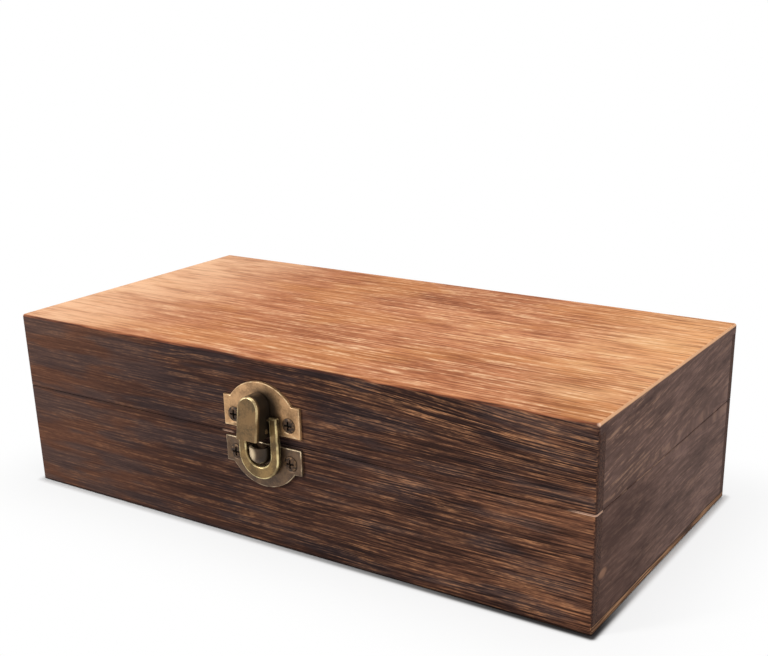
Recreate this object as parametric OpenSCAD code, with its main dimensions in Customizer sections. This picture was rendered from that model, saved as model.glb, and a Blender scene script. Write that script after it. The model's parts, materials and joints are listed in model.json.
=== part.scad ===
// Wooden wine box: two glued wooden halves, three hinges and a brass toggle latch.
// Origin: centre of the underside. +X along the front to the right, +Y to the back, +Z up.

/* [Box] */
// Outside length along the front
box_w = 210; // [180:5:260]
// Outside depth, front to back
box_d = 105; // [90:5:140]
// Outside height of the closed box
box_h = 60; // [58:1:80]
// Height of the joint between base and lid
base_h = 35; // [32:1:36]
// Thickness of the four boards of each half
wall_t = 8; // [7:0.5:10]
// Thickness of the bottom and top panels
panel_t = 3; // [2:0.5:4]
// Width of the two end strips of the bottom panel
end_strip = 18; // [12:1:24]
// Skin of the front and back boards that laps over the side boards
corner_lap = 4; // [3:0.5:5]
// Gap between the closed rims
rim_gap = 0.2; // [0.1:0.1:0.4]
// Sanded bevel of the outside edges
edge_ease = 0.8; // [0.4:0.1:1.2]
// Finer bevel of the rims' edges
rim_ease = 0.3; // [0.2:0.1:0.6]

/* [Latch] */
// Sideways place of the latch, from the middle of the front
latch_x = -2.6; // [-20:0.1:20]
// Width of the latch plate and of the catch plate
plate_w = 28.6; // [28:0.2:32]
// Thickness of both plates
plate_t = 1; // [0.8:0.1:1.2]
// Outside width of the lever
lever_w = 7.7; // [7.5:0.1:7.8]
// Overall height of the lever
lever_h = 13; // [12.6:0.1:13.6]
// Distance of the lever's face from the wood, at its top
lever_proud = 6.5; // [6.4:0.1:6.8]
// Distance of the lever's face from the wood, at its foot
lever_foot = 8.4; // [7.4:0.1:8.4]
// Sheet thickness of the lever
lever_t = 0.8; // [0.7:0.05:0.8]
// Outside width of the loop
loop_w = 15; // [14.8:0.1:15.2]
// Width of the loop's arms
loop_arm = 2.9; // [2.6:0.1:2.9]
// Thickness of the loop
loop_t = 1.5; // [1.2:0.1:1.6]
// Outside radius of the pressed catch that the loop holds
catch_r = 3.5; // [3:0.1:3.6]

/* [Hinges] */
// Length of the left and right hinges
hinge_w = 26; // [20:1:32]
// Length of the middle hinge
hinge_mid_w = 38; // [30:1:46]
// Distance of the outer hinges' middles from the ends of the box
hinge_inset = 34; // [26:1:40]
// Sideways place of the middle hinge
hinge_mid_x = -5; // [-8:1:8]
// Reach of each leaf from the joint
leaf_h = 11; // [10:0.5:13]
// Thickness of the leaves
leaf_t = 0.8; // [0.7:0.1:1]

/* [Hidden] */

$fn = 64;
front_wood = [0.33, 0.24, 0.18];
side_wood = [0.40, 0.32, 0.27];
top_wood = [0.74, 0.48, 0.32];
bottom_wood = [0.62, 0.50, 0.38];
brass = [0.45, 0.34, 0.18];
brass_worn = [0.60, 0.46, 0.25];

// Rims of the closed halves, and the length of the side boards
base_rim = base_h - rim_gap / 2;
lid_rim = base_h + rim_gap / 2;
side_len = box_d - 2 * corner_lap;

// Hinges: the axis lies in the joint, just inside the back face
axis_in = 0.7;
barrel_r = 1.55;
hinge_pin_r = 0.6;
notch_r = 2.1;
notch_end = 0.4;
leaf_gap = 2.2;
leaf_corner = 1.5;
knuckle_gap = 0.15;
// Place, length, number of knuckles and screws in each leaf, for each hinge
HINGES = [[hinge_inset - box_w / 2, hinge_w, 3, 2],
          [hinge_mid_x, hinge_mid_w, 5, 3],
          [box_w / 2 - hinge_inset, hinge_w, 3, 2]];
leaf_screw_y = 7.2;
leaf_screw_end = 4.5;

// Screws: head radius, shank radius, length and the height of the domed head
LEAF_SCREW = [1.75, 0.75, 6.5, 0.25];
LATCH_SCREW = [2.35, 1, 7, 0.45];
latch_screw_dx = 10.3;
play = 0.05;

// Heights of the latch pieces, from the joint between the halves
catch_top = base_h - 0.8;
catch_ear = 8.2;
catch_arc = base_h - 0.75;
catch_screw_z = base_h - 5.6;
latch_bottom = base_h + 2.6;
latch_ear = 9.7;
latch_arc = base_h + 3.95;
latch_screw_z = base_h + 6.4;
plate_r = plate_w / 2 - 0.05;

// Pressed catch: half a cup with a round bottom, open at its top
cup_out = 1.8;
cup_z = base_h - 3.6;
cup_top = base_h - 1.3;
cup_wall = 0.8;

// Lever pin, and the loop's pin above it and nearer the plate
pin_out = 3.6;
pin_z = base_h + 4.3;
pin_r = 0.7;
pin_end = 0.35;
eye_out = 2.5;
eye_z = pin_z + 3.2;
loop_pin_r = 0.5;
loop_pin_short = 0.1;

// Lever: a round-topped channel over two lugs of the latch plate
lever_z = base_h + 2.2;
lever_top = lever_z + lever_h + 1;
lever_back = 1.5;
lug_r = 1.8;
lug_t = 1;
lug_x = lever_w / 2 - lever_t - 0.1;
lug_root = 3.6;

// Loop: a flat stirrup with an eye at the end of each arm
loop_bottom = base_h - 11.8;
loop_inner = base_h - 7.9;
loop_eye_r = 1.2;

// Latch frame: X across, Y up, Z out of the front face
module on_front() {
    translate([latch_x, -box_d / 2, 0])
        rotate([90, 0, 0])
            children();
}

// Hinge frame: X along the joint, Y up from the joint, Z out of the back face
module on_back(x) {
    translate([x, box_d / 2, base_h])
        mirror([0, 1, 0])
            rotate([90, 0, 0])
                children();
}

// Sheet across the latch from x0 to x1; its section is drawn as [height, distance out]
module across(x0, x1) {
    translate([x0, 0, 0])
        rotate([90, 0, 90])
            linear_extrude(x1 - x0)
                children();
}

// Round bar along X
module rod(x0, x1, y, z, r) {
    translate([x0, y, z])
        rotate([0, 90, 0])
            cylinder(r = r, h = x1 - x0);
}

// Points of an arc
function arc(cx, cy, r, a0, a1, n = 12) =
    [for (i = [0:n]) [cx + r * cos(a0 + (a1 - a0) * i / n), cy + r * sin(a0 + (a1 - a0) * i / n)]];

// Outline of the box from above, with its upright corners eased
module plan() {
    w = box_w / 2;
    d = box_d / 2;
    e = edge_ease;
    polygon([[-w, -d + e], [-w + e, -d], [w - e, -d], [w, -d + e],
             [w, d - e], [w - e, d], [-w + e, d], [-w, d - e]]);
}

// Section of a board, outer face at 0: its glued edge at g, its rim at r, eased by b outside
module wall_section(g, r, b) {
    s = r > g ? 1 : -1;
    polygon([[0, g], [0, r - s * b], [-b, r], [-wall_t + rim_ease, r],
             [-wall_t, r - s * rim_ease], [-wall_t, g]]);
}

// Back board from g to r: full width, rabbeted at both ends to take the side boards
module long_board(g, r, b) {
    intersection() {
        difference() {
            translate([-box_w / 2, box_d / 2, 0])
                rotate([90, 0, 90])
                    linear_extrude(box_w)
                        wall_section(g, r, b);
            for (end = [0, 1])
                mirror([end, 0, 0])
                    translate([box_w / 2 - wall_t, box_d / 2 - wall_t - 1, -1])
                        cube([wall_t + 1, wall_t + 1 - corner_lap, box_h + 2]);
        }
        translate([0, 0, -1])
            linear_extrude(box_h + 2)
                plan();
    }
}

// Right side board, held between the front and back boards
module short_board(g, r) {
    translate([box_w / 2, side_len / 2, 0])
        rotate([90, 0, 0])
            linear_extrude(side_len)
                wall_section(g, r, rim_ease);
}

// Section of a panel across a width, from its glued face at z0 to its outer face at z1
module panel_section(across_w, z0, z1) {
    w = across_w / 2;
    e = z1 > z0 ? edge_ease : -edge_ease;
    b = edge_ease;
    polygon([[-w, z0], [-w, z1 - e], [-w + b, z1], [w - b, z1], [w, z1 - e], [w, z0]]);
}

// Panel over the whole outline with its outer edges eased
module panel(z0, z1) {
    intersection() {
        translate([0, 0, min(z0, z1)])
            linear_extrude(abs(z1 - z0))
                plan();
        translate([0, box_d / 2, 0])
            rotate([90, 0, 0])
                linear_extrude(box_d)
                    panel_section(box_w, z0, z1);
        translate([-box_w / 2, 0, 0])
            rotate([90, 0, 90])
                linear_extrude(box_w)
                    panel_section(box_d, z0, z1);
    }
}

// Screw along Z, its head's rim level with z = 0 and countersunk over a sheet t thick
module screw(s, t) {
    difference() {
        rotate_extrude()
            polygon(concat([[0, -s[2]], [s[1] * 0.5, -s[2] + 1.2], [s[1], -s[2] + 2],
                            [s[1], -t], [s[0], 0]],
                           [for (i = [1:5]) [s[0] * cos(i * 18), s[3] * sin(i * 18)]]));
        for (turn = [0, 90])
            rotate([0, 0, turn])
                translate([-s[0] * 0.6, -s[0] * 0.12, s[3] - s[0] * 0.45])
                    cube([s[0] * 1.2, s[0] * 0.24, s[0]]);
    }
}

// Countersunk hole for that screw
module sink(s, t) {
    translate([0, 0, -t])
        cylinder(r1 = s[1] + play, r2 = s[0] + play, h = t);
    cylinder(r = s[0] + play, h = 1);
    translate([0, 0, -t - 1])
        cylinder(r = s[1] + play, h = 1.5);
}

// Bore for that screw in the wood under the sheet
module pilot(s, t) {
    translate([0, 0, -s[2] - 0.3])
        cylinder(r = s[1] + play, h = s[2] + 0.3);
}

// Copies at the two latch screws' places, at height z
module at_latch_screws(z) {
    for (x = [-latch_screw_dx, latch_screw_dx])
        on_front()
            translate([x, z, plate_t])
                children();
}

// Copies at a hinge's screws, up = 1 in the lid and -1 in the base
module at_leaf_screws(h, up) {
    for (i = [0:h[3] - 1])
        on_back(h[0])
            translate([(i / (h[3] - 1) - 0.5) * (h[1] - 2 * leaf_screw_end), up * leaf_screw_y, leaf_t])
                children();
}

// Everything that is cut from a back board for the hinges
module hinge_cuts(up) {
    for (h = HINGES) {
        on_back(h[0])
            rod(-h[1] / 2 - notch_end, h[1] / 2 + notch_end, 0, -axis_in, notch_r);
        at_leaf_screws(h, up)
            pilot(LEAF_SCREW, leaf_t);
    }
}

// Flat of a leaf with its two far corners rounded
module leaf_flat(w) {
    r = leaf_corner;
    linear_extrude(leaf_t) {
        translate([-w / 2, leaf_gap])
            square([w, leaf_h - leaf_gap - r]);
        translate([r - w / 2, leaf_gap])
            square([w - 2 * r, leaf_h - leaf_gap]);
        for (x = [r - w / 2, w / 2 - r])
            translate([x, leaf_h - r])
                circle(r);
    }
}

// Rolled knuckle of a leaf and the strip that joins it to the flat
module knuckle(h, i) {
    pitch = h[1] / h[2];
    x0 = -h[1] / 2 + i * pitch + (i > 0 ? knuckle_gap / 2 : 0);
    x1 = -h[1] / 2 + (i + 1) * pitch - (i < h[2] - 1 ? knuckle_gap / 2 : 0);
    rod(x0, x1, 0, -axis_in, barrel_r);
    translate([x0, 0, 0])
        cube([x1 - x0, leaf_gap + 1, leaf_t]);
}

// Hinge leaf: first = 0 for the base's outer knuckles, 1 for the lid's knuckles between them
module leaf(h, first) {
    up = first == 1 ? 1 : -1;
    color(brass)
        difference() {
            on_back(h[0])
                mirror([0, 1 - first, 0]) {
                    leaf_flat(h[1]);
                    for (i = [first:2:h[2] - 1])
                        knuckle(h, i);
                }
            on_back(h[0])
                rod(-h[1], h[1], 0, -axis_in, hinge_pin_r + play);
            at_leaf_screws(h, up)
                sink(LEAF_SCREW, leaf_t);
        }
}

// Hinge pin, through all the knuckles of a hinge
module hinge_pin(h) {
    color(brass_worn)
        on_back(h[0])
            rod(-h[1] / 2, h[1] / 2, 0, -axis_in, hinge_pin_r);
}

module base_front() {
    color(front_wood)
        difference() {
            mirror([0, 1, 0])
                long_board(panel_t, base_rim, rim_ease);
            at_latch_screws(catch_screw_z)
                pilot(LATCH_SCREW, plate_t);
        }
}

module base_back() {
    color(front_wood)
        difference() {
            long_board(panel_t, base_rim, axis_in);
            hinge_cuts(-1);
        }
}

module base_left() {
    color(side_wood)
        mirror([1, 0, 0])
            short_board(panel_t, base_rim);
}

module base_right() {
    color(side_wood)
        short_board(panel_t, base_rim);
}

// Bottom panel between its end strips
module base_bottom() {
    color(bottom_wood)
        intersection() {
            panel(panel_t, 0);
            translate([end_strip - box_w / 2, -box_d / 2, -1])
                cube([box_w - 2 * end_strip, box_d, panel_t + 2]);
        }
}

// Right end strip of the bottom, with its grain from front to back
module bottom_end_right() {
    color(bottom_wood)
        intersection() {
            panel(panel_t, 0);
            translate([box_w / 2 - end_strip, -box_d / 2, -1])
                cube([end_strip, box_d, panel_t + 2]);
        }
}

module bottom_end_left() {
    mirror([1, 0, 0])
        bottom_end_right();
}

module lid_front() {
    color(front_wood)
        difference() {
            mirror([0, 1, 0])
                long_board(box_h - panel_t, lid_rim, rim_ease);
            at_latch_screws(latch_screw_z)
                pilot(LATCH_SCREW, plate_t);
        }
}

module lid_back() {
    color(front_wood)
        difference() {
            long_board(box_h - panel_t, lid_rim, axis_in);
            hinge_cuts(1);
        }
}

module lid_left() {
    color(side_wood)
        mirror([1, 0, 0])
            short_board(box_h - panel_t, lid_rim);
}

module lid_right() {
    color(side_wood)
        short_board(box_h - panel_t, lid_rim);
}

module lid_top() {
    color(top_wood)
        panel(box_h - panel_t, box_h);
}

// Section of the pressed catch turned about its upright axis
module cup(r, top) {
    rotate([-90, 0, 0])
        rotate_extrude()
            polygon(concat([[0, top - cup_z]], [[r, top - cup_z]], arc(0, 0, r, 0, -90, 16)));
}

module catch_plate() {
    color(brass)
        on_front()
            difference() {
                union() {
                    linear_extrude(plate_t) {
                        translate([-plate_w / 2, catch_top - catch_ear])
                            square([plate_w, catch_ear]);
                        intersection() {
                            translate([0, catch_arc])
                                circle(plate_r, $fn = 128);
                            translate([-plate_w / 2, catch_top - plate_w])
                                square([plate_w, plate_w]);
                        }
                    }
                    intersection() {
                        translate([0, cup_z, cup_out])
                            cup(catch_r, cup_top);
                        translate([-catch_r - 1, 0, plate_t / 2])
                            cube([2 * catch_r + 2, box_h, 2 * catch_r]);
                    }
                }
                translate([0, cup_z, cup_out])
                    cup(catch_r - cup_wall, cup_top + 1);
                for (x = [-latch_screw_dx, latch_screw_dx])
                    translate([x, catch_screw_z, plate_t])
                        sink(LATCH_SCREW, plate_t);
            }
}

module catch_screws() {
    color(brass_worn)
        at_latch_screws(catch_screw_z)
            screw(LATCH_SCREW, plate_t);
}

module latch_plate() {
    color(brass)
        on_front()
            difference() {
                union() {
                    linear_extrude(plate_t) {
                        translate([-plate_w / 2, latch_bottom])
                            square([plate_w, latch_ear]);
                        intersection() {
                            translate([0, latch_arc])
                                circle(plate_r, $fn = 128);
                            translate([-plate_w / 2, latch_bottom])
                                square([plate_w, plate_w]);
                        }
                    }
                    for (side = [0, 1])
                        mirror([side, 0, 0])
                            across(lug_x - lug_t, lug_x)
                                lug_section();
                }
                rod(-plate_w, plate_w, pin_z, pin_out, pin_r + play);
                for (x = [-latch_screw_dx, latch_screw_dx])
                    translate([x, latch_screw_z, plate_t])
                        sink(LATCH_SCREW, plate_t);
            }
}

// Lug that stands on the latch plate and holds the lever pin
module lug_section() {
    translate([pin_z, pin_out])
        circle(lug_r);
    polygon([[latch_bottom, plate_t / 2], [pin_z - lug_r * 0.8, pin_out - lug_r * 0.6],
             [pin_z + lug_r * 0.8, pin_out + lug_r * 0.6], [latch_bottom + lug_root, plate_t / 2]]);
}

module latch_screws() {
    color(brass_worn)
        at_latch_screws(latch_screw_z)
            screw(LATCH_SCREW, plate_t);
}

module lever_pin() {
    color(brass_worn)
        on_front()
            rod(-lever_w / 2 - pin_end, lever_w / 2 + pin_end, pin_z, pin_out, pin_r);
}

// Round-topped outline of the lever, drawn t inside its outer face
module lever_outline(t, foot) {
    r = lever_w / 2;
    c = lever_z + lever_h - r;
    translate([-r + t, foot])
        square([2 * r - 2 * t, c - foot]);
    translate([0, c])
        circle(r - t);
}

// Distance out of the lever's sloping face at a height, or of the sheet's inner side t below it
function face_out(z, t) = lever_proud + (lever_foot - lever_proud) * (lever_z + lever_h - z) / lever_h - t;

// Side of the lever: its heel is rounded about the lever pin so that it can turn
module lever_side() {
    heel = pin_out - lever_back;
    polygon(concat([[lever_z, face_out(lever_z, 0)], [lever_top, face_out(lever_top, 0)], [lever_top, lever_back]],
                   arc(pin_z, pin_out, heel, 270, 180)));
}

// Side of the hollow in the lever, open towards the plate and at the foot
module hollow_side() {
    foot = lever_z - 1;
    polygon([[foot, -1], [foot, face_out(foot, lever_t)], [lever_top, face_out(lever_top, lever_t)], [lever_top, -1]]);
}

module latch_lever() {
    color(brass_worn)
        on_front()
            difference() {
                intersection() {
                    linear_extrude(lever_foot)
                        lever_outline(0, lever_z);
                    across(-lever_w, lever_w)
                        lever_side();
                }
                intersection() {
                    linear_extrude(lever_foot)
                        lever_outline(lever_t, lever_z - 1);
                    across(-lever_w, lever_w)
                        hollow_side();
                }
                rod(-lever_w, lever_w, pin_z, pin_out, pin_r + play);
                rod(-lever_w, lever_w, eye_z, eye_out, loop_pin_r + play);
            }
}

module loop_pin() {
    half = loop_w / 2 - loop_pin_short;
    color(brass_worn)
        on_front()
            rod(-half, half, eye_z, eye_out, loop_pin_r);
}

// Inside or outside of the loop, r half its width and z its lowest point
module stirrup(r, z, top) {
    translate([0, z + r])
        circle(r);
    translate([-r, z + r])
        square([2 * r, top - z - r]);
}

module latch_loop() {
    outer = loop_w / 2;
    inner = outer - loop_arm;
    color(brass_worn)
        on_front()
            difference() {
                union() {
                    translate([0, 0, eye_out - loop_t / 2])
                        linear_extrude(loop_t)
                            difference() {
                                stirrup(outer, loop_bottom, eye_z);
                                stirrup(inner, loop_inner, eye_z + 1);
                            }
                    for (side = [0, 1])
                        mirror([side, 0, 0])
                            rod(inner, outer, eye_z, eye_out, loop_eye_r);
                }
                rod(-loop_w, loop_w, eye_z, eye_out, loop_pin_r + play);
            }
}

module hinge_left_base_leaf() {
    leaf(HINGES[0], 0);
}

module hinge_middle_base_leaf() {
    leaf(HINGES[1], 0);
}

module hinge_right_base_leaf() {
    leaf(HINGES[2], 0);
}

module hinge_left_lid_leaf() {
    leaf(HINGES[0], 1);
}

module hinge_middle_lid_leaf() {
    leaf(HINGES[1], 1);
}

module hinge_right_lid_leaf() {
    leaf(HINGES[2], 1);
}

module hinge_left_pin() {
    hinge_pin(HINGES[0]);
}

module hinge_middle_pin() {
    hinge_pin(HINGES[1]);
}

module hinge_right_pin() {
    hinge_pin(HINGES[2]);
}

module hinge_base_screws() {
    color(brass_worn)
        for (h = HINGES)
            at_leaf_screws(h, -1)
                screw(LEAF_SCREW, leaf_t);
}

module hinge_lid_screws() {
    color(brass_worn)
        for (h = HINGES)
            at_leaf_screws(h, 1)
                screw(LEAF_SCREW, leaf_t);
}

base_front();
base_back();
base_left();
base_right();
base_bottom();
bottom_end_left();
bottom_end_right();
catch_plate();
catch_screws();
hinge_left_base_leaf();
hinge_middle_base_leaf();
hinge_right_base_leaf();
hinge_left_pin();
hinge_middle_pin();
hinge_right_pin();
hinge_base_screws();
lid_front();
lid_back();
lid_left();
lid_right();
lid_top();
latch_plate();
latch_screws();
lever_pin();
hinge_left_lid_leaf();
hinge_middle_lid_leaf();
hinge_right_lid_leaf();
hinge_lid_screws();
latch_lever();
loop_pin();
latch_loop();
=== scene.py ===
import json
import math

import bmesh
import bpy
from mathutils import Matrix, Vector


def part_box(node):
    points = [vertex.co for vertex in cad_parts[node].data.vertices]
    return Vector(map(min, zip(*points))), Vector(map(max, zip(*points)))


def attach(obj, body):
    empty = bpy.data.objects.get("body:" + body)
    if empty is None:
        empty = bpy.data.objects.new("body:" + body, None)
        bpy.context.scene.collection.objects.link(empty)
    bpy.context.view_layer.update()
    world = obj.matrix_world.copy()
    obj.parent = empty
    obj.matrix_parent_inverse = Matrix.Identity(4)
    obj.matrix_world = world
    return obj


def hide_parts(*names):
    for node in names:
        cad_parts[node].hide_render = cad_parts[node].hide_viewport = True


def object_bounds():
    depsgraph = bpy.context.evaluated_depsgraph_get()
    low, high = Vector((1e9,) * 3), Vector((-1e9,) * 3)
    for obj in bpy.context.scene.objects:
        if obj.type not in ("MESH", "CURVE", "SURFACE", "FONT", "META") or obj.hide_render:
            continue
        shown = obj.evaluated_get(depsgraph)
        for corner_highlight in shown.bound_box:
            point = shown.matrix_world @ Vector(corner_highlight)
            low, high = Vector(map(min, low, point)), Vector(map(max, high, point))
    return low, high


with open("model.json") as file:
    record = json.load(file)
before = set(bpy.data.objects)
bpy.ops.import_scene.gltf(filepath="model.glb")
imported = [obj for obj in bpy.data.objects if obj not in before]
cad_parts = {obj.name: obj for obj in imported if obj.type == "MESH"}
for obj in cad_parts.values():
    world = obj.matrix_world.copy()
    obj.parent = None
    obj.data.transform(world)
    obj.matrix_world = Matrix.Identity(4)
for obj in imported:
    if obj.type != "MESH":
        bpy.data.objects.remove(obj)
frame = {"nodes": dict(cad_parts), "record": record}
cad_low, cad_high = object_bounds()

# Bottom panel: pale light wood, 3 mm thick, glued under the four boards of the base.
# Its two end strips have their grain from front to back. Only the outer skin of the box
# is scorched and brushed, so the floor inside stays pale.

MM = 0.001
ARRIS = "arris"
touch = 0.01
panel_ease = 0.8
floor_seams = (-7.0, 4.8, 21.4, 32.9)
pale_streak_z = 56.4
line_shows = (0.5, 0.64)
cluster_shows = (0.42, 0.62)
fleck_shows = (0.38, 0.6)
sharp = math.radians(40)
corner_angle = math.radians(30)
half_w, half_d, full_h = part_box("lid_top")[1] / MM
base_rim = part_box("base_front")[1].z / MM
lid_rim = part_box("lid_front")[0].z / MM
panel_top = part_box("base_bottom")[1].z / MM
joint_z = (base_rim + lid_rim) / 2


def tint(red, green, blue):
    """A colour as the eye reads it, 0 to 255, as a shader's colour."""
    share = [c / 255 for c in (red, green, blue)]
    return [c / 12.92 if c < 0.04045 else ((c + 0.055) / 1.055) ** 2.4 for c in share] + [1.0]


class Reading:
    """A number or a colour that changes over a surface. Sums on it add Math nodes."""

    def __init__(self, finish, socket):
        self.finish = finish
        self.socket = socket

    def sum(self, operation, first, second=0.0):
        return self.finish.node("Math", {"operation": operation}, {0: first, 1: second})

    def __add__(self, other):
        return self.sum("ADD", self, other)

    __radd__ = __add__

    def __sub__(self, other):
        return self.sum("SUBTRACT", self, other)

    def __rsub__(self, other):
        return self.sum("SUBTRACT", other, self)

    def __mul__(self, other):
        return self.sum("MULTIPLY", self, other)

    __rmul__ = __mul__

    def __abs__(self):
        return self.sum("ABSOLUTE", self)

    def least(self, other):
        return self.sum("MINIMUM", self, other)

    def most(self, other):
        return self.sum("MAXIMUM", self, other)

    def rise(self, low, high):
        """0 below low, 1 above high, and smooth between them."""
        return self.finish.node(
            "MapRange",
            {"interpolation_type": "SMOOTHSTEP"},
            {"Value": self, "From Min": low, "From Max": high},
        )

    def near(self, place, reach):
        """1 at a place and 0 further from it than the reach."""
        return 1.0 - abs(self - place).rise(reach * 0.4, reach)

    def ramp(self, *stops):
        """The colours of the stops, (place, colour), that this number runs through."""
        return self.finish.node("ValToRGB", {"stops": stops}, {"Fac": self})


class Finish:
    """A material, laid down node by node on the object's own coordinates in millimetres."""

    def __init__(self, name):
        self.material = bpy.data.materials.new(name)
        self.material.use_nodes = True
        self.tree = self.material.node_tree
        self.shader = self.tree.nodes["Principled BSDF"]
        coordinates = self.node("TexCoord", {}, {}, "Object")
        self.place = self.node("Mapping", {}, {"Vector": coordinates, "Scale": [1 / MM] * 3})
        self.x, self.y, self.z = self.split(self.place)

    def node(self, kind, settings, inputs, output=0):
        """Adds a node: its settings first, then values or links, by name, identifier or number."""
        made = self.tree.nodes.new("ShaderNode" + kind)
        for key, value in settings.items():
            if key == "stops":
                stops = made.color_ramp.elements
                for i, (place, colour) in enumerate(value):
                    stop = stops[i] if i < len(stops) else stops.new(place)
                    stop.position = place
                    stop.color = colour
            else:
                setattr(made, key, value)
        for key, value in inputs.items():
            socket = self.find(made.inputs, key)
            if isinstance(value, Reading):
                self.tree.links.new(value.socket, socket)
            else:
                socket.default_value = value
        return Reading(self, self.find(made.outputs, output))

    def find(self, sockets, key):
        if isinstance(key, int):
            return sockets[key]
        return next(s for s in sockets if key in (s.name, s.identifier))

    def split(self, vector):
        return [self.node("SeparateXYZ", {}, {0: vector}, axis) for axis in "XYZ"]

    def join(self, x=0.0, y=0.0, z=0.0):
        return self.node("CombineXYZ", {}, {0: x, 1: y, 2: z})

    def shift(self, vector, by):
        return self.node("VectorMath", {"operation": "ADD"}, {0: vector, 1: by})

    def length(self, x=0.0, y=0.0, z=0.0):
        return self.node("VectorMath", {"operation": "LENGTH"}, {0: self.join(x, y, z)}, "Value")

    def mix(self, first, second, share):
        return self.node(
            "Mix",
            {"data_type": "RGBA"},
            {"Factor_Float": share, "A_Color": first, "B_Color": second},
            "Result_Color",
        )

    def noise(self, length, width, along="x", detail=2.0, seed=0.0, place=None, coarse=0.55):
        """Streaks of this length and width in millimetres, drawn out along x or y."""
        stretch = [1 / width] * 3
        stretch["xy".index(along)] = 1 / length
        drawn = self.node(
            "Mapping",
            {},
            {"Vector": place or self.place, "Scale": stretch, "Location": [seed, seed / 2, -seed]},
        )
        return self.node(
            "TexNoise",
            {},
            {"Vector": drawn, "Scale": 1.0, "Detail": detail, "Roughness": coarse},
        )

    def shade(self, **values):
        """Sets the shader's own sockets, or links what changes over the surface."""
        for key, value in values.items():
            socket = self.shader.inputs[key.replace("_", " ")]
            if isinstance(value, Reading):
                self.tree.links.new(value.socket, socket)
            else:
                socket.default_value = value

    def relief(self, height, depth):
        """Bumps of this depth in metres."""
        bump = self.node("Bump", {}, {"Height": height, "Distance": depth, "Strength": 1.0})
        self.shade(Normal=bump)


def wavy(finish, along, sway):
    """The object's coordinates with the grain made to wander sideways by up to sway."""
    drift = (finish.noise(95, 26, along, 1.0, 3.0) - 0.5) * (2 * sway)
    push = finish.join(y=drift, z=drift) if along == "x" else finish.join(x=drift, z=drift)
    return finish.shift(finish.place, push)


def front_tone(finish):
    """Dark scorched face, grain along x: ruddy and dull patches under fine brushed lines."""
    slope = finish.x.rise(0, 125) * finish.z.rise(joint_z, full_h - 4) * 8
    place = finish.shift(wavy(finish, "x", 1.5), finish.join(z=slope))
    _, _, height = finish.split(place)
    patch = finish.noise(28, 7, "x", 3.0, 14.0, place)
    cluster = finish.noise(9, 2.1, "x", 3.0, 9.0, place, 0.72)
    line = finish.noise(24, 0.46, "x", 1.0, 5.0, place, 0.75)
    fleck = finish.noise(2.6, 0.36, "x", 1.0, 7.0, place)
    brushed = finish.x.rise(-100, 130) * 0.8 + 0.29
    over_joint = finish.z.rise(joint_z - 5, joint_z + 10)
    at_left = 1.0 - finish.x.rise(-110, 10)
    at_right = finish.x.rise(0, 110) * (0.04 - over_joint * 0.04)
    level = at_right - finish.x.near(10, 100) * 0.055 + at_left * 0.025
    mottle = patch * 0.38 + cluster * 0.2 + line * 0.17 + fleck * 0.2
    tone = (mottle - 0.475) * brushed + level + 0.495
    dull = tone.ramp(
        (0.38, tint(44, 32, 32)),
        (0.47, tint(64, 48, 45)),
        (0.54, tint(82, 61, 54)),
        (0.63, tint(104, 77, 66)),
    )
    ruddy = tone.ramp(
        (0.38, tint(48, 31, 27)),
        (0.47, tint(73, 47, 37)),
        (0.54, tint(95, 62, 47)),
        (0.63, tint(118, 76, 55)),
    )
    redness = finish.noise(28, 5, "x", 2.0, 18.0, place)
    redness = redness + finish.x.rise(-60, 110) * 0.1 - at_left * 0.04
    ground = finish.mix(dull, ruddy, redness.rise(0.42, 0.6))
    pale_streak = height.near(pale_streak_z, 3.2) * finish.x.rise(12, 60)
    thick = cluster.rise(*cluster_shows) * 0.34 + pale_streak * 0.25 + 0.15
    share = line.rise(*line_shows) * brushed * thick
    share = share * (fleck.rise(*fleck_shows) * 0.9 + 0.45)
    streaked = finish.mix(ground, tint(178, 126, 88), share)
    dark = (1.0 - line).rise(*line_shows) * brushed * 0.64
    return finish.mix(streaked, tint(22, 14, 13), dark), line


def side_tone(finish):
    """Grey-brown scorched face, grain along y, brushed less than the front."""
    over_joint = finish.z.rise(joint_z - 4, joint_z + 6)
    near_front = 1.0 - finish.y.rise(-half_d + 8, -half_d + 70)
    slope = (finish.y + half_d) * over_joint * -0.1
    place = finish.shift(wavy(finish, "y", 2.0), finish.join(z=slope))
    line = finish.noise(22, 0.7, "y", 1.0, 21.0, place, 0.8)
    cluster = finish.noise(7, 1.6, "y", 3.0, 27.0, place, 0.7)
    patch = finish.noise(30, 9, "y", 3.0, 25.0, place)
    tone = patch * 0.3 + cluster * 0.3 + 0.2 - near_front * 0.045
    tone = tone - near_front * (1.0 - over_joint) * 0.05
    ground = tone.ramp(
        (0.36, tint(61, 45, 41)),
        (0.47, tint(90, 69, 62)),
        (0.56, tint(111, 87, 79)),
        (0.68, tint(129, 103, 94)),
    )
    pale = line.rise(0.5, 0.62) * cluster.rise(0.42, 0.6) * (over_joint * near_front * 0.35 + 0.15)
    light = finish.mix(ground, tint(160, 126, 102), pale)
    colour = finish.mix(light, tint(42, 29, 26), (1.0 - line).rise(0.52, 0.64) * 0.3)
    colour = finish.mix(colour, tint(74, 46, 34), near_front * (0.3 - over_joint * 0.2))
    return colour, line


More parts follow.
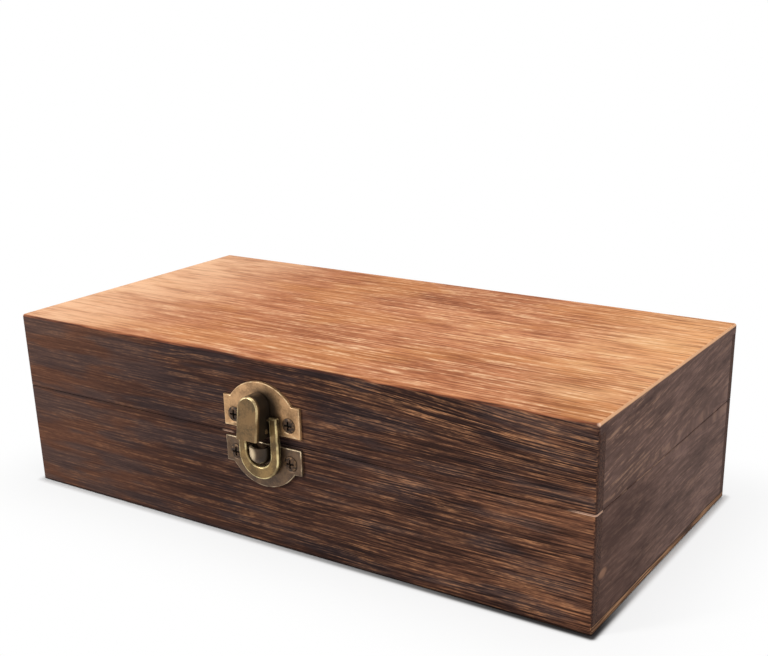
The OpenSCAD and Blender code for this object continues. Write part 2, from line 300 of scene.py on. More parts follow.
def top_tone(finish):
    """Orange-brown scorched face, grain along x, with fine pale and dark brushed lines."""
    place = wavy(finish, "x", 1.5)
    cloud = finish.noise(56, 24, "x", 3.0, 39.0)
    patch = finish.noise(26, 9, "x", 3.0, 33.0, place)
    cluster = finish.noise(9, 3.2, "x", 3.0, 37.0, place, 0.72)
    line = finish.noise(24, 1.15, "x", 1.0, 31.0, place, 0.8)
    fleck = finish.noise(3.0, 1.0, "x", 1.0, 35.0, place)
    brushed = finish.x.rise(-115, 60) * 0.45 + 0.55
    at_back = finish.y.rise(0, half_d) * (1.0 - finish.x.rise(0, 70))
    at_front = finish.x.rise(-70, 0) * finish.y.near(-half_d, 60)
    mottle = cloud * 0.3 + patch * 0.2 + cluster * 0.17 + line * 0.15 + fleck * 0.18
    tone = (mottle - 0.5) * brushed - at_back * 0.045 - at_front * 0.035 + 0.51
    ground = tone.ramp(
        (0.38, tint(146, 84, 53)),
        (0.46, tint(182, 114, 76)),
        (0.54, tint(208, 138, 97)),
        (0.64, tint(232, 170, 118)),
    )
    golden = finish.noise(44, 20, "x", 2.0, 47.0).rise(0.46, 0.64) * 0.4
    ground = finish.mix(ground, tint(216, 146, 86), golden)
    at_left = 1.0 - finish.x.rise(-half_w - 5, -half_w * 0.35)
    at_left = at_left * (patch.rise(0.38, 0.6) * 0.5 + 0.45)
    ground = finish.mix(ground, tint(254, 202, 160), at_left)
    to_back = finish.y.rise(-half_d, half_d / 2) * 0.45 + 0.1
    at_right = finish.x.rise(half_w * 0.5, half_w) * to_back
    ground = finish.mix(ground, tint(252, 188, 128), at_right)
    # A paler patch near the right end of the top.
    pale_patch = finish.length(x=finish.x - (half_w - 14), y=(finish.y + 8) * 0.5).near(0, 26)
    ground = finish.mix(ground, tint(240, 190, 136), pale_patch * patch.rise(0.42, 0.62) * 0.35)
    share = line.rise(*line_shows) * brushed * (cluster.rise(*cluster_shows) * 0.4 + 0.22)
    share = share * (fleck.rise(*fleck_shows) * 0.9 + 0.5)
    light = finish.mix(ground, tint(250, 208, 164), share)
    dark = (1.0 - line).rise(*line_shows) * brushed * (0.5 - cluster.rise(*cluster_shows) * 0.25)
    return finish.mix(light, tint(120, 64, 38), dark), line


def raw_tone(finish, along, seams=()):
    """Pale sanded wood as it is inside, with glued strips that meet at seams across y."""
    place = wavy(finish, along, 4.0)
    fine = finish.noise(40, 0.8, along, 2.0, 41.0, place)
    band = finish.noise(90, 4.5, along, 2.0, 45.0, place)
    level = fine * 0.35 + band * 0.65
    for i, seam in enumerate(seams):
        level = level + finish.y.rise(seam - 0.2, seam + 0.2) * (0.06 if i % 2 else -0.06)
    colour = level.ramp(
        (0.34, tint(220, 182, 144)),
        (0.48, tint(240, 210, 178)),
        (0.60, tint(248, 228, 202)),
    )
    for seam in seams:
        colour = finish.mix(colour, tint(190, 146, 108), finish.y.near(seam, 0.5) * 0.6)
    return colour, level


def skin(finish, outside, inside):
    """The scorched outside, as deep as the flame reached, over the raw wood inside."""
    from_sides = (half_w - abs(finish.x)).least(half_d - abs(finish.y))
    depth = from_sides.least((full_h - finish.z).least(finish.z))
    ragged = finish.noise(6, 1.2, "x", 2.0, 51.0) * 0.5
    charred = 1.0 - (depth + ragged).rise(0.9, 1.3)
    finish.shade(
        Base_Color=finish.mix(inside[0], outside[0], charred),
        Roughness=0.62,
        Specular_IOR_Level=0.05,
    )
    finish.relief(outside[1], 0.1 * MM)
    return finish.material


def plank(outline, low, high):
    """A board from its outline seen from above, in millimetres, between two heights."""
    mesh = bmesh.new()
    mesh.faces.new([mesh.verts.new((x * MM, y * MM, low * MM)) for x, y in outline])
    raised = bmesh.ops.extrude_face_region(mesh, geom=mesh.faces[:])["geom"]
    rise = [v for v in raised if isinstance(v, bmesh.types.BMVert)]
    bmesh.ops.translate(mesh, vec=(0, 0, (high - low) * MM), verts=rise)
    bmesh.ops.recalc_face_normals(mesh, faces=mesh.faces[:])
    return mesh


def ease(mesh, radius, chosen, segments=3):
    """Rounds the corners whose middles, in millimetres, are chosen, and marks them as arrises."""
    arris = mesh.faces.layers.float.get(ARRIS) or mesh.faces.layers.float.new(ARRIS)
    corners = []
    for edge in mesh.edges:
        middle = (edge.verts[0].co + edge.verts[1].co) / 2 / MM
        if edge.calc_face_angle(0.0) > corner_angle and chosen(*middle):
            corners.append(edge)
    rounded = bmesh.ops.bevel(
        mesh,
        geom=corners,
        offset=radius * MM,
        offset_type="OFFSET",
        segments=segments,
        profile=0.5,
        affect="EDGES",
        material=-1,
    )
    for face in rounded["faces"]:
        face[arris] = 1.0


def fit(name, mesh, node, finish):
    """Makes the mesh a piece that stands for the CAD node, on its body, and hides the node."""
    bmesh.ops.dissolve_degenerate(mesh, dist=touch * MM / 10, edges=mesh.edges[:])
    data = bpy.data.meshes.new(name)
    mesh.to_mesh(data)
    mesh.free()
    data.shade_smooth()
    data.set_sharp_from_angle(angle=sharp)
    data.materials.append(finish)
    piece = bpy.data.objects.new(name, data)
    bpy.context.scene.collection.objects.link(piece)
    even = piece.modifiers.new("even", "WEIGHTED_NORMAL")
    even.keep_sharp = True
    bodies = frame["record"]["behaviour"]["bodies"]
    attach(piece, next(body for body, nodes in bodies.items() if node in nodes))
    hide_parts(node)
    return piece


def rectangle(low, high):
    """Outline from above of a CAD box's two corners, in millimetres."""
    (x0, y0, _), (x1, y1, _) = low / MM, high / MM
    return [(x0, y0), (x1, y0), (x1, y1), (x0, y1)]


def on_outline(x, y):
    """True at the outside of the box, seen from above."""
    return abs(x) > half_w - touch or abs(y) > half_d - touch


def panel_skin(name, along, seams=()):
    """Scorched like the front, but with the streaky edges of the end strips at the sides, and
    painted shade along its lowest edge.
    """
    finish = Finish(name)
    colour, level = front_tone(finish)
    at_side = abs(finish.x).rise(half_w - 0.6, half_w - 0.2) * finish.z.rise(0.2, 0.6)
    streaks = finish.noise(18, 0.5, "y", 2.0, 55.0)
    strip = streaks.ramp(
        (0.38, tint(58, 40, 32)),
        (0.50, tint(112, 80, 58)),
        (0.62, tint(160, 122, 90)),
    )
    colour = finish.mix(colour, strip, at_side)
    colour = finish.mix(colour, tint(30, 22, 22), finish.z.near(panel_top, 0.4) * at_side)
    # Painted shade along the lowest edge, where the box stands on the floor.
    colour = finish.mix(colour, tint(24, 18, 18), finish.z.near(0, 1.3) * 0.8)
    return skin(finish, (colour, level), raw_tone(finish, along, seams))


wood_bottom = panel_skin("wood_bottom", "x", floor_seams)
wood_strip = panel_skin("wood_strip", "y")

for node, name, wood in (
    ("base_bottom", "bottom_panel", wood_bottom),
    ("bottom_end_left", "bottom_strip_left", wood_strip),
    ("bottom_end_right", "bottom_strip_right", wood_strip),
):
    low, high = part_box(node)
    panel = plank(rectangle(low, high), low.z / MM, high.z / MM)
    ease(panel, panel_ease, lambda x, y, z: on_outline(x, y) and z < touch)
    ease(panel, panel_ease, lambda x, y, z: abs(x) > half_w - touch and abs(y) > half_d - touch)
    fit(name, panel, node, wood)

# Boards of the base: the front and back boards are rabbeted and lap over the ends of the
# side boards, so a narrow band of dark end grain shows on each side of the box. All four
# are scorched outside and pale inside, and their rims are lightly sanded.

rim_ease = 0.25
back_ease = 0.3
scuff_in = 5.6
scuff_z = 16.5
rubbed_x = -16.8
wall = half_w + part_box("base_left")[1].x / MM
lap = half_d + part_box("base_left")[0].y / MM


def meet(finish, colour, dark, pale):
    """Darkens the line where lid and base meet, but for pale places where the rim is rubbed."""
    darkened = finish.mix(colour, tint(30, 22, 22), finish.z.near(joint_z, 0.75) * dark)
    return finish.mix(darkened, tint(206, 168, 144), finish.z.near(joint_z, 0.36) * pale)


def scuff(finish, colour):
    """A small pale knock low on the box's ends, close to the front."""
    across = (finish.y + (half_d - scuff_in)) * 0.55 + finish.noise(3, 2, "y", 2.0, 57.0) - 0.5
    mark = finish.length(y=across, z=finish.z - scuff_z).near(0, 1.8)
    at_side = abs(finish.x).rise(half_w - 0.5, half_w - 0.2)
    return finish.mix(colour, tint(142, 106, 84), mark * at_side * 0.6)


def board_skin(name):
    """Front and back boards, with smooth end grain at the sides and a few rubbed places."""
    finish = Finish(name)
    colour, level = front_tone(finish)
    at_side = abs(finish.x).rise(half_w - 0.5, half_w - 0.2)
    speck = finish.noise(1.6, 0.5, "x", 2.0, 57.0)
    end_grain = speck.ramp((0.36, tint(46, 32, 28)), (0.64, tint(78, 54, 44)))
    colour = scuff(finish, finish.mix(colour, end_grain, at_side))
    rubbed = finish.x.rise(half_w - 9, half_w - 4).most(finish.x.near(rubbed_x, 2.8) * 0.7)
    colour = meet(finish, colour, 0.35, rubbed * (1.0 - finish.y.rise(0, 1)))
    return skin(finish, (colour, level), raw_tone(finish, "x"))


def side_skin(name):
    """Side boards, rubbed a little along the rim towards the front."""
    finish = Finish(name)
    colour, level = side_tone(finish)
    rubbed = finish.y.near(-18, 26) * finish.noise(9, 3, "y", 1.0, 63.0).rise(0.36, 0.52)
    colour = meet(finish, scuff(finish, colour), 0.15, rubbed * 0.4)
    return skin(finish, (colour, level), raw_tone(finish, "y"))


wood_front = board_skin("wood_front")
wood_side = side_skin("wood_side")


def front_board(node, name, rim):
    """Front board of one half: its ends are cut back behind the lap to take the side boards."""
    low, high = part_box(node)
    step = half_d - lap
    inner = half_w - wall
    outline = [(-half_w, -half_d), (half_w, -half_d), (half_w, -step), (inner, -step)]
    outline += [(inner, wall - half_d), (-inner, wall - half_d), (-inner, -step), (-half_w, -step)]
    board = plank(outline, low.z / MM, high.z / MM)

    def on_rim(x, y, z):
        return abs(z - rim) < touch and (y < touch - half_d or y > wall - half_d - touch)

    ease(board, panel_ease, lambda x, y, z: abs(x) > half_w - touch and y < touch - half_d)
    ease(board, rim_ease, on_rim)
    fit(name, board, node, wood_front)


def side_board(node, name, rim):
    """Side board of one half, held between the front and back boards."""
    low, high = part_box(node)
    board = plank(rectangle(low, high), low.z / MM, high.z / MM)
    ease(board, rim_ease, lambda x, y, z: abs(z - rim) < touch and abs(y) < 1)
    fit(name, board, node, wood_side)


def soften(node, finish, width):
    """Keeps a CAD node, with its own finish and its arrises taken off."""
    piece = frame["nodes"][node]
    piece.data.materials.clear()
    piece.data.materials.append(finish)
    joined = piece.modifiers.new("joined", "WELD")
    joined.merge_threshold = touch * MM
    flat = piece.modifiers.new("flat", "DECIMATE")
    flat.decimate_type = "DISSOLVE"
    flat.angle_limit = math.radians(2)
    arrises = piece.modifiers.new("arrises", "BEVEL")
    arrises.width = width * MM
    arrises.segments = 2
    arrises.limit_method = "ANGLE"
    arrises.angle_limit = corner_angle
    even = piece.modifiers.new("even", "WEIGHTED_NORMAL")
    even.keep_sharp = True


front_board("base_front", "base_front_board", base_rim)
side_board("base_left", "base_left_board", base_rim)
side_board("base_right", "base_right_board", base_rim)
soften("base_back", wood_front, back_ease)

# Catch: a stamped brass plate with two square ears and half a cup pressed out of its
# middle, which the loop hooks under. It is plated to look old, duller than the latch
# above it, and held by two dark countersunk screws.

latch_x = sum(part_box("latch_loop")[i].x for i in (0, 1)) / 2 / MM
on_front = Matrix(((1, 0, 0, latch_x * MM), (0, 0, -1, -half_d * MM), (0, 1, 0, 0), (0, 0, 0, 1)))
# Painted shade: the near-black that brass() lays where its shade mask is high.
painted_shade_colour = tint(34, 27, 20)
catch_ear_top = 34.2
catch_ear_foot = 26.0
catch_arc_z = 34.25
head_ease = 0.04


def middle(node):
    """Middle of a CAD node: place across the latch, height and distance out of the wood."""
    low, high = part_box(node)
    centre = (low + high) / 2 / MM
    return centre.x - latch_x, centre.z, -half_d - centre.y


def brass(name, plating, patina, rubbed, roughness, shade_mask=None, wear_and_highlight=None):
    """Antique brass: cloudy plating, rubbed on its arrises, darkened with painted shade where a
    shade mask is given, and with a given function that may shape the rubbed colour and add a
    painted highlight.
    """
    finish = Finish(name)
    cloud = finish.noise(4, 4, "x", 3.0, 61.0)
    grain = finish.noise(0.5, 0.5, "x", 2.0, 67.0)
    colour = finish.mix(patina, plating, (cloud * 0.7 + grain * 0.3).rise(0.36, 0.62))
    # Painted shade, where a shade mask is given.
    if shade_mask:
        colour = finish.mix(colour, painted_shade_colour, shade_mask(finish))
    arris = finish.node("Attribute", {"attribute_name": ARRIS}, {}, "Fac")
    worn = arris * (finish.noise(2.5, 2.5, "x", 2.0, 71.0).rise(0.36, 0.62) * 0.75 + 0.1)
    finish.shade(
        Base_Color=finish.mix(colour, rubbed, wear_and_highlight(finish, worn) if wear_and_highlight else worn),
        Metallic=0.6,
        Roughness=grain * 0.14 + (roughness - 0.07),
    )
    finish.relief(grain, 0.02 * MM)
    return finish.material


def out_of_wood(finish):
    """How far a place stands out from the front of the box."""
    return -half_d - finish.y


def arc(centre, radius, start, stop, steps):
    """Points of an arc round (x, height), from one angle to another in degrees."""
    turns = [math.radians(start + (stop - start) * i / steps) for i in range(steps + 1)]
    return [(centre[0] + radius * math.cos(t), centre[1] + radius * math.sin(t)) for t in turns]


def drawn_out(mesh, faces, by):
    """Extrudes the faces by a vector in millimetres, and returns the new corners."""
    raised = bmesh.ops.extrude_face_region(mesh, geom=faces)["geom"]
    corners = [v for v in raised if isinstance(v, bmesh.types.BMVert)]
    bmesh.ops.translate(mesh, vec=Vector(by) * MM, verts=corners)
    return corners


plate_t = 1.0
plate_ease = 0.3
plate_half = (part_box("latch_plate")[1].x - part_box("latch_plate")[0].x) / 2 / MM
plate_r = plate_half - 0.05
head_r = 2.35
screw_dx = (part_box("latch_screws")[1].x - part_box("latch_screws")[0].x) / 2 / MM - head_r
screw_hole = 1.1
screw_sink = 2.55


def sheet_plate(name, node, ear_from, ear_to, arc_z, finish, details):
    """Stamped plate: an arc between two ears, each with a countersunk hole."""
    _, screw_z, _ = middle(node.replace("plate", "screws"))
    way = 1 if ear_to > ear_from else -1
    lean = math.degrees(math.asin(abs(ear_to - arc_z) / plate_r))
    outline = [(-plate_half, ear_from), (plate_half, ear_from), (plate_half, ear_to)]
    outline += arc((0, arc_z), plate_r, way * lean, way * (180 - lean), 40)
    outline += [(-plate_half, ear_to)]
    holes = [arc((x, screw_z), screw_hole, 0, 345, 23) for x in (-screw_dx, screw_dx)]
    mesh = bmesh.new()
    for rim in [outline] + holes:
        corners = [mesh.verts.new((x * MM, z * MM, 0)) for x, z in rim]
        for first, second in zip(corners, corners[1:] + corners[:1]):
            mesh.edges.new((first, second))
    bmesh.ops.triangle_fill(mesh, use_beauty=True, use_dissolve=False, edges=mesh.edges[:])
    for v in drawn_out(mesh, mesh.faces[:], (0, 0, plate_t)):
        for x in (-screw_dx, screw_dx):
            hole = Vector((x * MM, screw_z * MM, v.co.z))
            if (v.co - hole).length < (screw_hole + touch) * MM:
                v.co = hole + (v.co - hole) * screw_sink / screw_hole
    bmesh.ops.recalc_face_normals(mesh, faces=mesh.faces[:])

    def on_rim(x, y, z):
        from_screw = math.hypot(abs(x) - screw_dx, y - screw_z)
        return z > plate_t - touch and from_screw > screw_sink + touch

    ease(mesh, plate_ease, on_rim, 2)
    details(mesh)
    mesh.transform(on_front)
    fit(name, mesh, node, finish)


cup_r = 3.5
cup_wall = 0.8
cup_out = 1.8
cup_z = 31.4
cup_top = 33.7


def pressed_cup(mesh):
    """Half a round-bottomed cup pressed out of the plate, open at its top."""
    lip = cup_top - cup_z
    section = [(cup_r, lip)] + arc((0, 0), cup_r, 0, -90, 12)
    section += arc((0, 0), cup_r - cup_wall, -90, 0, 12) + [(cup_r - cup_wall, lip)]
    corners = [mesh.verts.new((x * MM, (z + cup_z) * MM, cup_out * MM)) for x, z in section]
    wires = [mesh.edges.new(pair) for pair in zip(corners, corners[1:] + corners[:1])]
    turned = bmesh.ops.spin(
        mesh,
        geom=corners + wires,
        cent=(0, 0, cup_out * MM),
        axis=(0, 1, 0),
        angle=-math.pi,
        steps=24,
        use_merge=False,
    )
    last = [e for e in turned["geom_last"] if isinstance(e, bmesh.types.BMEdge)]
    for ring in (wires, last):
        ends = bmesh.ops.extrude_edge_only(mesh, edges=ring)["geom"]
        rooted = [v for v in ends if isinstance(v, bmesh.types.BMVert)]
        bmesh.ops.translate(mesh, vec=(0, 0, (plate_t / 2 - cup_out) * MM), verts=rooted)
        bmesh.ops.edgeloop_fill(mesh, edges=[e for e in ends if isinstance(e, bmesh.types.BMEdge)])
    bmesh.ops.remove_doubles(mesh, verts=mesh.verts[:], dist=touch * MM / 10)
    between = [f for f in mesh.faces if all(abs(v.co.x) < touch * MM / 10 for v in f.verts)]
    bmesh.ops.delete(mesh, geom=between, context="FACES")
    bmesh.ops.recalc_face_normals(mesh, faces=mesh.faces[:])


def cup_shade(finish):
    """Painted shade on the flanks of the cup, in its mouth and on its right side, none on the front
    of its bulge.
    """
    out = out_of_wood(finish)
    # Painted shade on the cup's right side, away from the key light.
    shaded = (finish.x - latch_x).rise(-0.6, 2.2) * 0.85
    return out.rise(1.05, 1.5) * (1.0 - out.rise(3.2, 4.8)).most(shaded) * 0.9


def cup_wear_and_highlight(finish, worn):
    """Rubbed arrises, and a painted highlight high on the left of the cup's bulge."""
    across = finish.x - (latch_x - 1.4)
    # Painted highlight, high on the left of the bulge.
    highlight_spot = finish.length(x=across, z=(finish.z - (cup_z + 0.4)) * 0.8).near(0, 2.5)
    return (worn * 0.6).most(highlight_spot * out_of_wood(finish).rise(2.8, 4.2) * 0.8)


# The third colour serves both the rubbed arrises and the painted highlight on the cup.
catch_brass = brass(
    "catch_brass",
    tint(104, 80, 58),
    tint(72, 55, 42),
    tint(226, 202, 164),
    0.36,
    cup_shade,
    cup_wear_and_highlight,
)
sheet_plate(
    "catch_sheet",
    "catch_plate",
    catch_ear_top,
    catch_ear_foot,
    catch_arc_z,
    catch_brass,
    pressed_cup,
)


def screw_finish(name, node):
    """Dark screw heads: worn at the rim, with painted shade, near black, in the cross and in the
    ring around them.
    """
    finish = Finish(name)
    _, screw_z, _ = middle(node)
    across = abs(finish.x - latch_x) - screw_dx
    radius = finish.length(x=across, z=finish.z - screw_z)
    grain = finish.noise(0.8, 0.8, "x", 2.0, 73.0)
    face = grain.ramp((0.36, tint(32, 22, 16)), (0.64, tint(84, 60, 39)))
    worn = radius.near(head_r - 0.4, 0.35) * grain.rise(0.45, 0.65) * 0.4
    face = finish.mix(face, tint(138, 110, 76), worn)
    # Painted shade: near black where the head lies below the plate's face.
    sunk_shade = 1.0 - out_of_wood(finish).rise(plate_t - 0.15, plate_t + 0.05)
    finish.shade(Base_Color=finish.mix(face, tint(18, 14, 12), sunk_shade), Metallic=0.6, Roughness=0.55)
    finish.relief(grain, 0.03 * MM)
    return finish.material


soften("catch_screws", screw_finish("catch_screw_heads", "catch_screws"), head_ease)

# Hinges: three pressed brass butt hinges on the back, the middle one longer. Each has a
# leaf on either half with its knuckles rolled round a steel pin, and small countersunk
# screws. Their barrels lie in notches cut in the back boards' rims.

leaf_ease = 0.12
pin_ease = 0.08
small_screw_ease = 0.03
hinge_brass = brass("hinge_brass", tint(132, 104, 70), tint(112, 88, 60), tint(190, 166, 122), 0.44)
steel = Finish("plated_steel")
scratches = steel.noise(3, 0.3, "x", 2.0, 79.0)
steel.shade(
    Base_Color=scratches.ramp((0.36, tint(70, 56, 40)), (0.64, tint(128, 104, 72))),
    Metallic=0.8,
    Roughness=scratches * 0.2 + 0.28,
)
steel.relief(scratches, 0.02 * MM)
for hinge in ("left", "middle", "right"):
    soften(f"hinge_{hinge}_base_leaf", hinge_brass, leaf_ease)
    soften(f"hinge_{hinge}_lid_leaf", hinge_brass, leaf_ease)
    soften(f"hinge_{hinge}_pin", steel.material, pin_ease)
soften("hinge_base_screws", steel.material, small_screw_ease)
soften("hinge_lid_screws", steel.material, small_screw_ease)

# Lid: four boards like those of the base, and a 3 mm top panel glued on them. The top is
# scorched less than the sides, and its arrises are rounded by sanding. A ruddy line runs
# along the front and a pale one along the sides, and its four top corners carry a painted
# highlight.

front_board("lid_front", "lid_front_board", lid_rim)
side_board("lid_left", "lid_left_board", lid_rim)
side_board("lid_right", "lid_right_board", lid_rim)
soften("lid_back", wood_front, back_ease)

lid_seams = (-22.8, -2.2, 12.5)
wood_top = Finish("wood_top")
edge_front, _ = front_tone(wood_top)
edge_side, _ = side_tone(wood_top)
face, face_level = top_tone(wood_top)
from_side = half_w - abs(wood_top.x)
from_front = half_d - abs(wood_top.y)
at_side = (from_front - from_side).rise(-0.1, 0.1)
over_arris = from_side.least(from_front) - (full_h - wood_top.z)
ragged = wood_top.noise(16, 1.2, "x", 2.0, 83.0)
edge = wood_top.mix(edge_front, edge_side, at_side)
flat = wood_top.mix(edge, face, (over_arris + (ragged - 0.5) * 0.6).rise(-0.2, 0.3))
ruddy_line = ragged.ramp(
    (0.38, tint(66, 36, 28)),
    (0.52, tint(136, 78, 52)),
    (0.64, tint(184, 120, 82)),
)
arris_line = wood_top.mix(ruddy_line, tint(228, 176, 134), at_side)
lined = wood_top.mix(flat, arris_line, over_arris.near(-0.1, 0.8) * (at_side * 0.1 + 0.75))
# Painted highlight on the top's four corners.
corner_highlight = wood_top.length(x=from_side, y=from_front, z=full_h - wood_top.z).near(0, 1.2)
lined = wood_top.mix(lined, tint(238, 200, 176), corner_highlight * 0.7)
skin(wood_top, (lined, face_level), raw_tone(wood_top, "x", lid_seams))


def on_top_arris(x, y, z):
    """True at the top panel's upper edges and at its four upright corners."""
    upright = abs(x) > half_w - touch and abs(y) > half_d - touch
    return upright or (on_outline(x, y) and z > full_h - touch)


low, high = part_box("lid_top")
top = plank(rectangle(low, high), low.z / MM, high.z / MM)
ease(top, panel_ease, on_top_arris, 4)
fit("top_panel", top, "lid_top", wood_top.material)

# Latch plate: a stamped brass plate like the catch's, with two lugs bent out of it that
# hold the lever on a pin. The plating is rubbed on the ears, and a painted shadow of the
# lever darkens it round the lever and to its right.

_, pin_z, pin_out = middle("lever_pin")
lever_low, lever_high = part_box("latch_lever")
lever_half = (lever_high.x - lever_low.x) / 2 / MM
lever_foot_z = lever_low.z / MM
lever_top_z = lever_high.z / MM
crown_z = lever_top_z - lever_half
lug_r = 1.8
lug_x = 2.95
lug_t = 1.0
lug_over = 1.9
lug_under = 1.6
latch_ear_foot = 37.6
latch_ear_top = 47.3
latch_arc_z = 38.95


def lugs(mesh):
    """The two lugs bent out of the plate, which hold the lever's pin."""
    for side in (-1, 1):
        outline = arc((pin_out, pin_z), lug_r, -60, 120, 12)
        outline += [(plate_t / 2, pin_z + lug_over), (plate_t / 2, pin_z - lug_under)]
        x = side * lug_x - (lug_t if side > 0 else 0)
        flank = mesh.faces.new([mesh.verts.new((x * MM, z * MM, out * MM)) for out, z in outline])
        drawn_out(mesh, [flank], (lug_t, 0, 0))
    bmesh.ops.recalc_face_normals(mesh, faces=mesh.faces[:])


def lever_painted_shadow(finish):
    """Painted shadow of the lever on the plate, round it and a little to its right."""
    aside = finish.x - (latch_x + 1.9)
    above = (finish.z - crown_z).most(0.0)
    below = (lever_foot_z + 3 - finish.z).most(0.0)
    return finish.length(x=aside, z=above + below).near(0, 7.2) * 0.92


# The latch plate gets a painted shadow of the lever.
latch_brass = brass(
    "latch_brass",
    tint(192, 150, 106),
    tint(142, 109, 75),
    tint(222, 190, 146),
    0.44,
    lever_painted_shadow,
)
sheet_plate(
    "latch_sheet",
    "latch_plate",
    latch_ear_foot,
    latch_ear_top,
    latch_arc_z,
    latch_brass,
    lugs,
)
soften("latch_screws", screw_finish("latch_screw_heads", "latch_screws"), head_ease)
soften("lever_pin", steel.material, pin_ease)

# Lever: a round-topped channel of 0.8 mm brass whose face slopes outwards to its foot.
# It turns on the lugs' pin and draws the loop tight. Its face is rubbed by the thumb, and
# its flanks are darkened with painted shade.

lever_face_top = 6.5
lever_face_foot = -half_d - lever_low.y / MM
lever_back = -half_d - lever_high.y / MM
lever_t = 0.8
lever_ease = 0.55
sheet_ease = 0.12


def face_out(z):
    """Distance of the lever's face from the wood at a height."""
    share = (lever_top_z - z) / (lever_top_z - lever_foot_z)
    return lever_face_top + (lever_face_foot - lever_face_top) * share


def lever_flank_shade(finish):
    """Painted shade behind the lever's face, on its two flanks."""
    out = out_of_wood(finish)
    slope = (lever_face_foot - lever_face_top) / (lever_top_z - lever_foot_z)
    behind_face = (lever_top_z - finish.z) * slope + lever_face_top - out
    return behind_face.rise(0.45, 1.5) * 0.95


def lever_wear(finish, worn):
    """The thumb rubs the lever's round top more than its long edges."""
    return worn * (finish.z.rise(crown_z - 4, crown_z + 1) * 0.7 + 0.3)


lever = bmesh.new()
outline = [(lever_half, lever_foot_z)]
outline += arc((0, crown_z), lever_half, 0, 180, 24) + [(-lever_half, lever_foot_z)]
lever.faces.new([lever.verts.new((x * MM, z * MM, face_out(z) * MM)) for x, z in outline])
walls = [e for e in lever.edges if not all(v.co.y < (lever_foot_z + touch) * MM for v in e.verts)]
drawn = bmesh.ops.extrude_edge_only(lever, edges=walls)["geom"]
for v in drawn:
    if isinstance(v, bmesh.types.BMVert):
        v.co.z = lever_back * MM
bmesh.ops.recalc_face_normals(lever, faces=lever.faces[:])
ease(lever, lever_ease, lambda x, y, z: z > face_out(y) - touch and y > lever_foot_z + touch, 4)
feet = [v for v in lever.verts if v.co.y < (lever_foot_z + touch) * MM]
heels = [v for v in feet if v.co.z < (lever_back + touch) * MM]
bmesh.ops.bevel(
    lever,
    geom=heels,
    offset=(pin_out - lever_back) * MM,
    offset_type="OFFSET",
    segments=8,
    profile=0.5,
    affect="VERTICES",
    material=-1,
)
lever.transform(on_front)
lever_brass = brass(
    "lever_brass",
    tint(120, 92, 58),
    tint(82, 65, 40),
    tint(216, 192, 142),
    0.4,
    lever_flank_shade,
    lever_wear,
)
lever_piece = fit("lever_sheet", lever, "latch_lever", lever_brass)
sheet = lever_piece.modifiers.new("sheet", "SOLIDIFY")
sheet.thickness = lever_t * MM
sheet.offset = -1.0
sheet.use_even_offset = True
rounded = lever_piece.modifiers.new("rounded", "BEVEL")
rounded.width = sheet_ease * MM
rounded.segments = 2
rounded.limit_method = "ANGLE"
lever_piece.modifiers.move(0, 2)

# Loop: a flat cast brass stirrup, 1.5 mm thick, with a small eye at the end of each arm.
# It hangs on a thin pin through the lever, and goes round the catch's cup.

_, eye_z, eye_out = middle("loop_pin")
loop_low, loop_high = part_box("latch_loop")
loop_half = (loop_high.x - loop_low.x) / 2 / MM
loop_foot = loop_low.z / MM
loop_bottom = 3.9
loop_arm = 2.9
loop_over_eye = 1.1
loop_hole = loop_foot + loop_bottom
loop_inner = loop_half - loop_arm
loop_t = 1.5
loop_front_ease = 0.5
loop_back_ease = 0.3
arm_top = eye_z + loop_over_eye
loop = bmesh.new()
outline = [(loop_half, arm_top)]
outline += arc((0, loop_foot + loop_half), loop_half, 0, -180, 40) + [(-loop_half, arm_top)]
outline += [(-loop_inner, arm_top)]
outline += arc((0, loop_hole + loop_inner), loop_inner, -180, 0, 32) + [(loop_inner, arm_top)]
loop.faces.new([loop.verts.new((x * MM, z * MM, (eye_out - loop_t / 2) * MM)) for x, z in outline])
drawn_out(loop, loop.faces[:], (0, 0, loop_t))
bmesh.ops.recalc_face_normals(loop, faces=loop.faces[:])
ease(loop, loop_front_ease, lambda x, y, z: z > eye_out + touch, 4)
ease(loop, loop_back_ease, lambda x, y, z: z < eye_out - touch, 2)
loop.transform(on_front)


def loop_flank_shade(finish):
    """Painted shade on the loop's flanks and its back."""
    out = out_of_wood(finish)
    return (1.0 - out.rise(eye_out - 0.5, eye_out + 0.5)) * 0.85


loop_brass = brass(
    "loop_brass",
    tint(140, 112, 68),
    tint(92, 72, 42),
    tint(232, 212, 154),
    0.36,
    loop_flank_shade,
)
fit("loop_casting", loop, "latch_loop", loop_brass)
soften("loop_pin", steel.material, pin_ease)

# Floor and backdrop: one large sheet of pale paper. It is lit up to white for the camera,
# except close to the box, where it keeps the shadow that grounds it. A thin painted shadow
# along the box's front is also laid into its colour.

floor_size = 6.0
floor_mesh = bmesh.new()
bmesh.ops.create_grid(floor_mesh, x_segments=1, y_segments=1, size=floor_size)
floor_data = bpy.data.meshes.new("floor")
floor_mesh.to_mesh(floor_data)
floor_mesh.free()
floor = bpy.data.objects.new("floor", floor_data)
bpy.context.scene.collection.objects.link(floor)
paper = Finish("paper")
glow = paper.node("Emission", {}, {"Strength": 1.0})
to_camera, to_gloss = [
    paper.node("LightPath", {}, {}, ray) for ray in ("Is Camera Ray", "Is Glossy Ray")
]
seen = to_camera.most(to_gloss)
beside = paper.length(x=(abs(paper.x) - half_w).most(0.0), y=(abs(paper.y) - half_d).most(0.0))
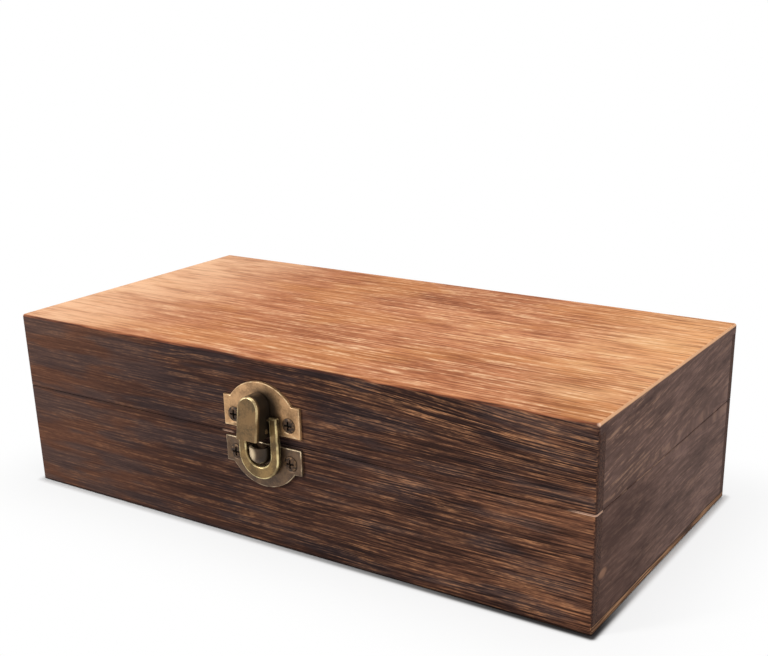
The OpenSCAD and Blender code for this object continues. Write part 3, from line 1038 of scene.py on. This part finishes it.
# Painted shadow on the paper: a thin dark line along the box's front, darker towards the right.
at_corner = paper.x.rise(-60, 100) * (1.0 - paper.y.rise(-50, -10))
painted_contact_shadow = (1.0 - beside.rise(0.8, 2.2)) * at_corner
paper.shade(
    Base_Color=paper.mix(tint(238, 238, 238), tint(30, 26, 26), painted_contact_shadow),
    Roughness=0.9,
)
bright = beside.rise(0.3, 3.0) * 0.8 + beside.rise(0.0, 40.0) * 0.2
lit = Reading(paper, paper.shader.outputs[0])
both = paper.node("MixShader", {}, {0: seen * bright, 1: lit, 2: glow})
output = paper.tree.nodes["Material Output"]
paper.tree.links.new(both.socket, output.inputs["Surface"])
floor_data.materials.append(paper.material)

# Studio: white surroundings, a key light from the front left, a broad light above and a
# weaker one on the right.

sky_light = 0.28
world = bpy.data.worlds.new("studio")
world.use_nodes = True
sky = world.node_tree
background = sky.nodes["Background"]
background.inputs["Color"].default_value = [1.0, 1.0, 1.0, 1.0]
path = sky.nodes.new("ShaderNodeLightPath")
seen_sky = sky.nodes.new("ShaderNodeMath")
seen_sky.operation = "MAXIMUM"
sky.links.new(path.outputs["Is Camera Ray"], seen_sky.inputs[0])
sky.links.new(path.outputs["Is Glossy Ray"], seen_sky.inputs[1])
dim = sky.nodes.new("ShaderNodeMapRange")
dim.inputs["To Min"].default_value = sky_light
dim.inputs["To Max"].default_value = 1.0
sky.links.new(seen_sky.outputs[0], dim.inputs["Value"])
sky.links.new(dim.outputs[0], background.inputs["Strength"])
bpy.context.scene.world = world


def softbox(name, place, target, size, power):
    """A square area light at a place, turned to its target."""
    lamp = bpy.data.lights.new(name, "AREA")
    lamp.size = size
    lamp.energy = power
    holder = bpy.data.objects.new(name, lamp)
    holder.location = place
    holder.rotation_euler = (Vector(target) - Vector(place)).to_track_quat("-Z", "Y").to_euler()
    bpy.context.scene.collection.objects.link(holder)


centre = (cad_low + cad_high) / 2
softbox("key", (-1.0, -1.2, 0.9), centre, 0.35, 22.0)
softbox("above", (0.1, 0.25, 1.1), centre, 0.9, 4.0)
softbox("right", (1.1, -0.20, 0.40), centre, 0.8, 6.5)

# Camera: where the photograph was taken from, at the front right and a little above. Its
# distances are given in lengths of the box, and its optical centre in pixels.

frame_w = 768
frame_h = 656
focal_px = 1171.4
optical_x = 424.4
optical_y = 426.6
azimuth = math.radians(32.362)
elevation = math.radians(20.639)
roll = math.radians(-0.819)
distance = 1.8649
aside = 0.0838
below = 0.0341
sensor_w = 36.0
length = cad_high.x - cad_low.x
flat_x = math.sin(azimuth) * math.cos(elevation)
flat_y = -math.cos(azimuth) * math.cos(elevation)
away = Vector((flat_x, flat_y, math.sin(elevation)))
level_right = Vector((0, 0, 1)).cross(away).normalized()
level_up = away.cross(level_right)
right = level_right * math.cos(roll) + level_up * math.sin(roll)
up = level_up * math.cos(roll) - level_right * math.sin(roll)
camera = bpy.data.objects.new("camera", bpy.data.cameras.new("camera"))
bpy.context.scene.collection.objects.link(camera)
camera.matrix_world = Matrix((right, up, away)).transposed().to_4x4()
camera.location = away * distance * length + right * aside * length - up * below * length
camera.location += Vector((0, 0, centre.z))
camera.data.sensor_width = sensor_w
camera.data.lens = focal_px * camera.data.sensor_width / frame_w
camera.data.shift_x = (frame_w / 2 - optical_x) / frame_w
camera.data.shift_y = (optical_y - frame_h / 2) / frame_w
bpy.context.scene.camera = camera
bpy.context.scene.view_settings.view_transform = "Standard"
